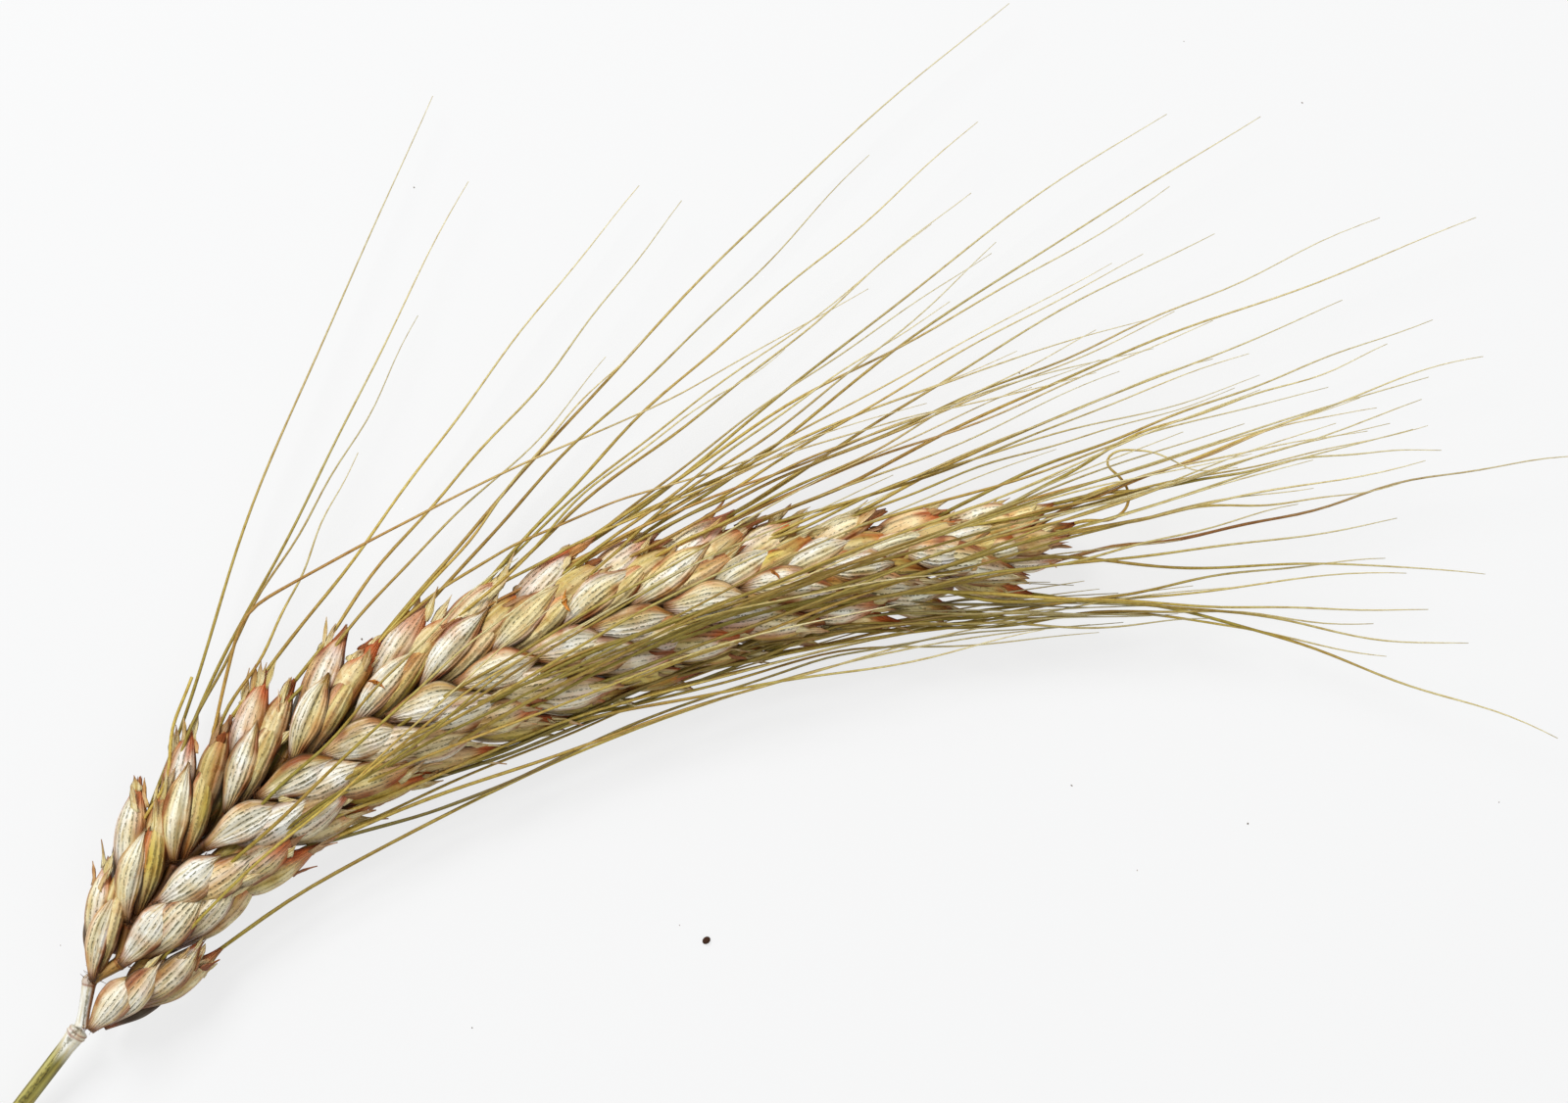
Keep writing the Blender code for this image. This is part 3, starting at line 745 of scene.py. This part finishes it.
def husk_place(row, name, s, side, rng):
    """Where a husk starts, the way it points, the way its back faces, and its sizes."""
    along = turned(axis_heading(s))
    to_upper = np.array((-along[1], along[0], 0.0))
    outward = to_upper * (side or 1)
    ahead, offset, angle = (np.interp(s, GLUME_LINES[row][:, 0], GLUME_LINES[row][:, i]) for i in (1, 2, 3))
    (a, o), turn, length, half, depth, low, high, tilt = HUSKS[row][name]
    if row == "upper":  # the first spikelet of the upper row is narrow and stands close to the ear
        o *= 0.45 + 0.55 * min(1.0, max(0.0, s - 4) / 7)
        half *= 0.85 + 0.15 * min(1.0, max(0.0, s - 4) / 7)
    size = spikelet_size(s / EAR_LENGTH)
    angle = math.radians(angle + turn + rng.uniform(-2.5, 2.5))
    start = axis_point(s) + along * ahead + to_upper * offset + (along * a + outward * o + UP * low) * size
    way = along * math.cos(angle) + outward * math.sin(angle)
    way = unit(way * length + UP * (high - low))
    tilt = math.radians(tilt + rng.uniform(-6, 6))
    front = UP * math.cos(tilt) + outward * math.sin(tilt)
    front = unit(front - way * (front @ way))
    share = s / EAR_LENGTH
    length = length * size * rng.uniform(0.96, 1.05) * (1 + 0.26 * share**2)
    half, depth = half * size * (1 + 0.42 * share**3), depth * size * (1 + 0.2 * share**2)
    return start, way, front, length, half, depth, size, share


def build_spikelet(row, number, s, side, seed):
    label = row if row == "terminal" else f"{row}_{number:02d}"
    rng = np.random.default_rng(seed)
    tips = {}
    for name in HUSKS[row]:
        parts, tip, way = husk(rng, husk_place(row, name, s, side, rng), name, row)
        tips[name] = (tip, way)
        if name == "glume_a":
            parts += hairs(rng, parts[0]["co"][:40].mean(axis=0), way)
        add_piece(f"{label}_{name}", parts, HUSK, ["spikelet_" + label])

    spec = AWNS[row][number - 1]
    main = "lemma_b" if spec[4] < 0 else ("lemma_c" if row == "upper" else "lemma_a")
    extra = [(m[2], m[3:7], m[7]) for m in MORE_AWNS if m[:2] == (row, number)]
    extra += [(m[2], m[3:5], m[5]) for m in BENT_AWNS if m[:2] == (row, number)]
    if (row == "lower" and 1 < number < 9) or (row == "upper" and 5 < number < 11):
        for floret in ("lemma_d",) if row == "lower" else ("lemma_a", "lemma_b"):
            bend = rng.uniform(-4, 4)
            ends = (spec[0] + bend, spec[1] + bend + rng.uniform(-3, 3), spec[2] * rng.uniform(0.6, 0.95))
            extra.append((floret, (*ends, 13.5 if row == "lower" else 8.0), 0.3 * rng.random()))
    bands = 1 + len(extra)
    boxes = [(0, i / bands, 1, (i + 0.96) / bands) for i in range(bands)]
    low = row == "lower"
    cad_start = cad_awn_start(s, side, spec)
    parts = [awn(rng, *tips[main], spec, 0.15 * rng.random(), 1.0, boxes[0], low, cad_start)]
    for (floret, more, redness), box in zip(extra, boxes[1:]):
        parts.append(awn(rng, *tips[floret], more, redness, rng.uniform(0.8, 1.0), box, low))
    add_piece(f"awns_{label}", parts, BRISTLE, ["awn_" + label])


def build_stalk():
    """The rachis, zigzag between its nodes, and the cut stem with its collar."""
    rng = np.random.default_rng(5)
    knots = [axis_point(0.1)]
    for i in range(1, 2 * ROW_COUNT):
        row, side = (("lower", -1), ("upper", 1))[i % 2]
        s = FIRST_NODE + NODE_PITCH * i
        along = turned(axis_heading(s))
        to_upper = np.array((-along[1], along[0], 0.0))
        line = GLUME_LINES[row]
        ahead, offset = (np.interp(s, line[:, 0], line[:, k]) for k in (1, 2))
        knots.append(axis_point(s) + along * (ahead - 0.1) + to_upper * (offset - 0.3 * side) + UP * 0.35)
    knots = np.array(knots)
    knots[0] += COLLAR_SHIFT
    knots[1] += SECOND_NODE_SHIFT
    # Points are closer together over the first nodes, where the rachis is in view.
    fine = np.concatenate([np.linspace(0, 3, 76), np.arange(3.125, len(knots) - 1 + 0.01, 0.125)])
    points = np.stack([np.interp(fine, np.arange(len(knots)), knots[:, i]) for i in range(3)], 1)
    phase = fine - np.floor(fine)
    near = np.minimum(phase, 1 - phase)
    swollen = 0.56 + 0.2 * np.abs(phase - 0.35) + 0.10 * np.exp(-((near / 0.06) ** 2))
    radii = swollen * (1 - 0.4 * fine / len(knots))
    part = tube(points, radii, WHITE_STRAW, 3.0, sides=RACHIS_SIDES)
    turn = np.cos(np.linspace(0, 2 * math.pi, RACHIS_SIDES, endpoint=False))[None, :] + 0 * fine[:, None]
    fine = fine[:, None] + 0 * turn
    near = near[:, None] + 0 * turn
    tint = part["tint"].reshape(*turn.shape, 3)
    tint = blend(tint, TAN, smooth(0.9, 1.3, fine + 0.3 * turn))
    tint = blend(tint, BROWN, smooth(0.35, 0.75, turn) * smooth(1.2, 0.9, fine))
    # Painted shade: past the first nodes the rachis lies deep between the spikelets and darkens to dark
    # brown, then umber
    tint = blend(tint, DARK_BROWN, smooth(1.8, 3.0, fine) * 0.9)
    tint = blend(tint, PAINTED_SHADE_UMBER, smooth(3, 7, fine) * 0.85)
    for ring in RACHIS_RINGS:
        tint = blend(tint, RUST, 0.85 * np.exp(-(((near - ring) / 0.022) ** 2)) * smooth(0.3, 0.6, fine))
    part["tint"] = tint.reshape(-1, 3)
    add_piece("rachis_axis", [part], STRAW_MAT, ["rachis"])

    back = turned(STEM_HEADING)
    collar = axis_point(0) - back * 0.3 + COLLAR_SHIFT
    cut = collar - back * STEM_LENGTH
    cut[2] = STEM_RADIUS + 0.05
    t = np.concatenate([np.linspace(0, 0.12, 34), np.linspace(0.14, 1, 40)])
    points = collar + (cut - collar) * t[:, None]
    radii = np.interp(t, *zip(*STEM_RADII))
    for ring in COLLAR_RINGS:
        radii = radii + 0.05 * np.exp(-(((t - ring) / 0.004) ** 2))
    part = tube(points, radii, WHITE_STRAW, 9.0, sides=STEM_SIDES)
    shape = (len(t), STEM_SIDES)
    tint = part["tint"].reshape(*shape, 3)
    # Below its pale end the stem turns olive, with green and brown stripes along it.
    t = t[:, None] + 0 * tint[..., 0]
    olive = smooth(0.10, 0.24, t + 0.04 * mottle(rng, shape, (3, 12)))
    streaks = mottle(rng, shape, (2, 14))
    tint = blend(tint, STEM_OLIVE, olive)
    tint = blend(tint, STEM_DARK, olive * np.clip(0.15 + 1.3 * streaks, 0, 0.9))
    tint = blend(tint, STEM_PALE, olive * np.clip(-1.2 * streaks - 0.2, 0, 0.8))
    for ring in COLLAR_RINGS:
        lines = np.exp(-(((t - ring) / 0.005) ** 2)) * (0.75 + 0.25 * mottle(rng, shape, (2, 8)))
        tint = blend(tint, RUST, np.clip(0.95 * lines, 0, 0.95))
    wrinkles = smooth(0.2, 0.6, mottle(rng, shape, (40, 9)))
    wrinkles = wrinkles * smooth(0.012, 0.02, t) * smooth(0.075, 0.04, t)
    tint = blend(tint, RUST, 0.6 * wrinkles)
    part["tint"] = tint.reshape(-1, 3)
    add_piece("stem_straw", [part], STRAW_MAT, ["stem"])


def husk_top(place):
    """The highest point of the husks near this place."""
    heights = []
    for obj in bpy.data.objects:
        if "lemma" in obj.name or "glume" in obj.name:
            co = np.empty(len(obj.data.vertices) * 3)
            obj.data.vertices.foreach_get("co", co)
            co = co.reshape(-1, 3) / MM - SHIFT
            heights += list(co[np.linalg.norm(co[:, :2] - place, axis=1) < 0.7, 2])
    return max(heights)


def build_anthers():
    """Dried anthers and crumbs of husk caught between the spikelets."""
    rng = np.random.default_rng(21)
    for i, place in enumerate(ANTHERS):
        start = np.array((*place, husk_top(place) - 0.1))
        parts = []
        for _ in range(3):
            way = unit(np.append(rng.uniform(-1, 1, 2), 0.15))
            colour = blend(ANTHER, RUST, 0.6 * rng.random())
            length, half = rng.uniform(0.7, 1.4), rng.uniform(0.16, 0.26)
            parts.append(scrap(rng, start, way, UP - way * way[2], length, half, colour))
        add_piece(f"anther_{i + 1}", parts, HUSK, [])


for i in range(ROW_COUNT):
    build_spikelet("lower", i + 1, node_distance("lower", i), -1, SEEDS["lower"] + i)
    build_spikelet("upper", i + 1, node_distance("upper", i), 1, SEEDS["upper"] + i)
build_spikelet("terminal", 1, EAR_LENGTH, 0, SEEDS["terminal"])
build_stalk()
build_anthers()


# The surface, with a few specks of dust. The largest is a crumb beside the ear: place, radius, colour.

CRUMB = ((55.7, -19.97), 0.42, (0.05, 0.022, 0.012))
DUST_COUNT = 26


def plain_material(name, colour, roughness):
    mat = bpy.data.materials.new(name)
    mat.use_nodes = True
    shader = mat.node_tree.nodes["Principled BSDF"]
    shader.inputs["Base Color"].default_value = (*colour, 1)
    shader.inputs["Roughness"].default_value = roughness
    shader.inputs["Specular IOR Level"].default_value = 0.1
    return mat


def build_stage():
    mesh = bpy.data.meshes.new("surface")
    mesh.from_pydata([(-3, -3, 0), (3, -3, 0), (3, 3, 0), (-3, 3, 0)], [], [(0, 1, 2, 3)])
    surface = plain_material("surface", (0.18, 0.182, 0.184), 0.9)
    lit = surface.node_tree.nodes["Principled BSDF"].inputs
    lit["Emission Color"].default_value = (1.0, 1.0, 1.0, 1)
    lit["Emission Strength"].default_value = 0.73
    mesh.materials.append(surface)
    floor = bpy.data.objects.new("surface", mesh)
    bpy.context.scene.collection.objects.link(floor)
    rng = np.random.default_rng(11)
    specks = [CRUMB]
    for _ in range(DUST_COUNT):
        place = rng.uniform((-20, -60), (150, 75))
        grey = rng.uniform(0.15, 0.45)
        specks.append((place, rng.uniform(0.06, 0.13), (grey, grey * 0.85, grey * 0.7)))
    for i, (place, radius, colour) in enumerate(specks):
        bpy.ops.mesh.primitive_ico_sphere_add(subdivisions=2, radius=radius * MM)
        dust = bpy.context.object
        dust.name = f"speck_{i:02d}"
        dust.location = ((place[0] + SHIFT[0]) * MM, (place[1] + SHIFT[1]) * MM, radius * 0.5 * MM)
        dust.scale = (1.0, rng.uniform(0.5, 0.9), 0.5)
        dust.rotation_euler = (0, 0, rng.uniform(0, 6))
        dust.data.materials.append(plain_material(dust.name, colour, 0.8))


build_stage()


# Light and camera.

scene = bpy.context.scene
scene.view_settings.view_transform = "Standard"
world = bpy.data.worlds.new("studio")
world.use_nodes = True
world.node_tree.nodes["Background"].inputs["Color"].default_value = (1.0, 1.0, 1.0, 1)
world.node_tree.nodes["Background"].inputs["Strength"].default_value = 0.5
scene.world = world

LOOK = np.array((78.88, 8.98, 0.0)) + SHIFT
VIEW_TURN, CAMERA_HEIGHT = math.radians(-27.4), 0.611


def add_area(name, azimuth, elevation, distance, size, power):
    """A soft square light aimed at the ear. Its azimuth is measured in the picture, from its right side."""
    light = bpy.data.lights.new(name, "AREA")
    light.size, light.energy = size, power
    lamp = bpy.data.objects.new(name, light)
    a, e = math.radians(azimuth) + VIEW_TURN, math.radians(elevation)
    way = np.array((math.cos(a) * math.cos(e), math.sin(a) * math.cos(e), math.sin(e)))
    lamp.location = tuple(LOOK * MM + way * distance)
    lamp.rotation_euler = (math.pi / 2 - e, 0, a + math.pi / 2)
    scene.collection.objects.link(lamp)


add_area("key", 125, 50, 0.9, 0.35, 6.4)
add_area("fill", -60, 60, 1.1, 0.8, 1.0)

camera = bpy.data.cameras.new("camera")
camera.lens, camera.sensor_width = 150, 36
camera.clip_start, camera.clip_end = 0.01, 20
eye = bpy.data.objects.new("camera", camera)
eye.location = (LOOK[0] * MM, LOOK[1] * MM, CAMERA_HEIGHT)
eye.rotation_euler = (0, 0, VIEW_TURN)
scene.collection.objects.link(eye)
scene.camera = eye
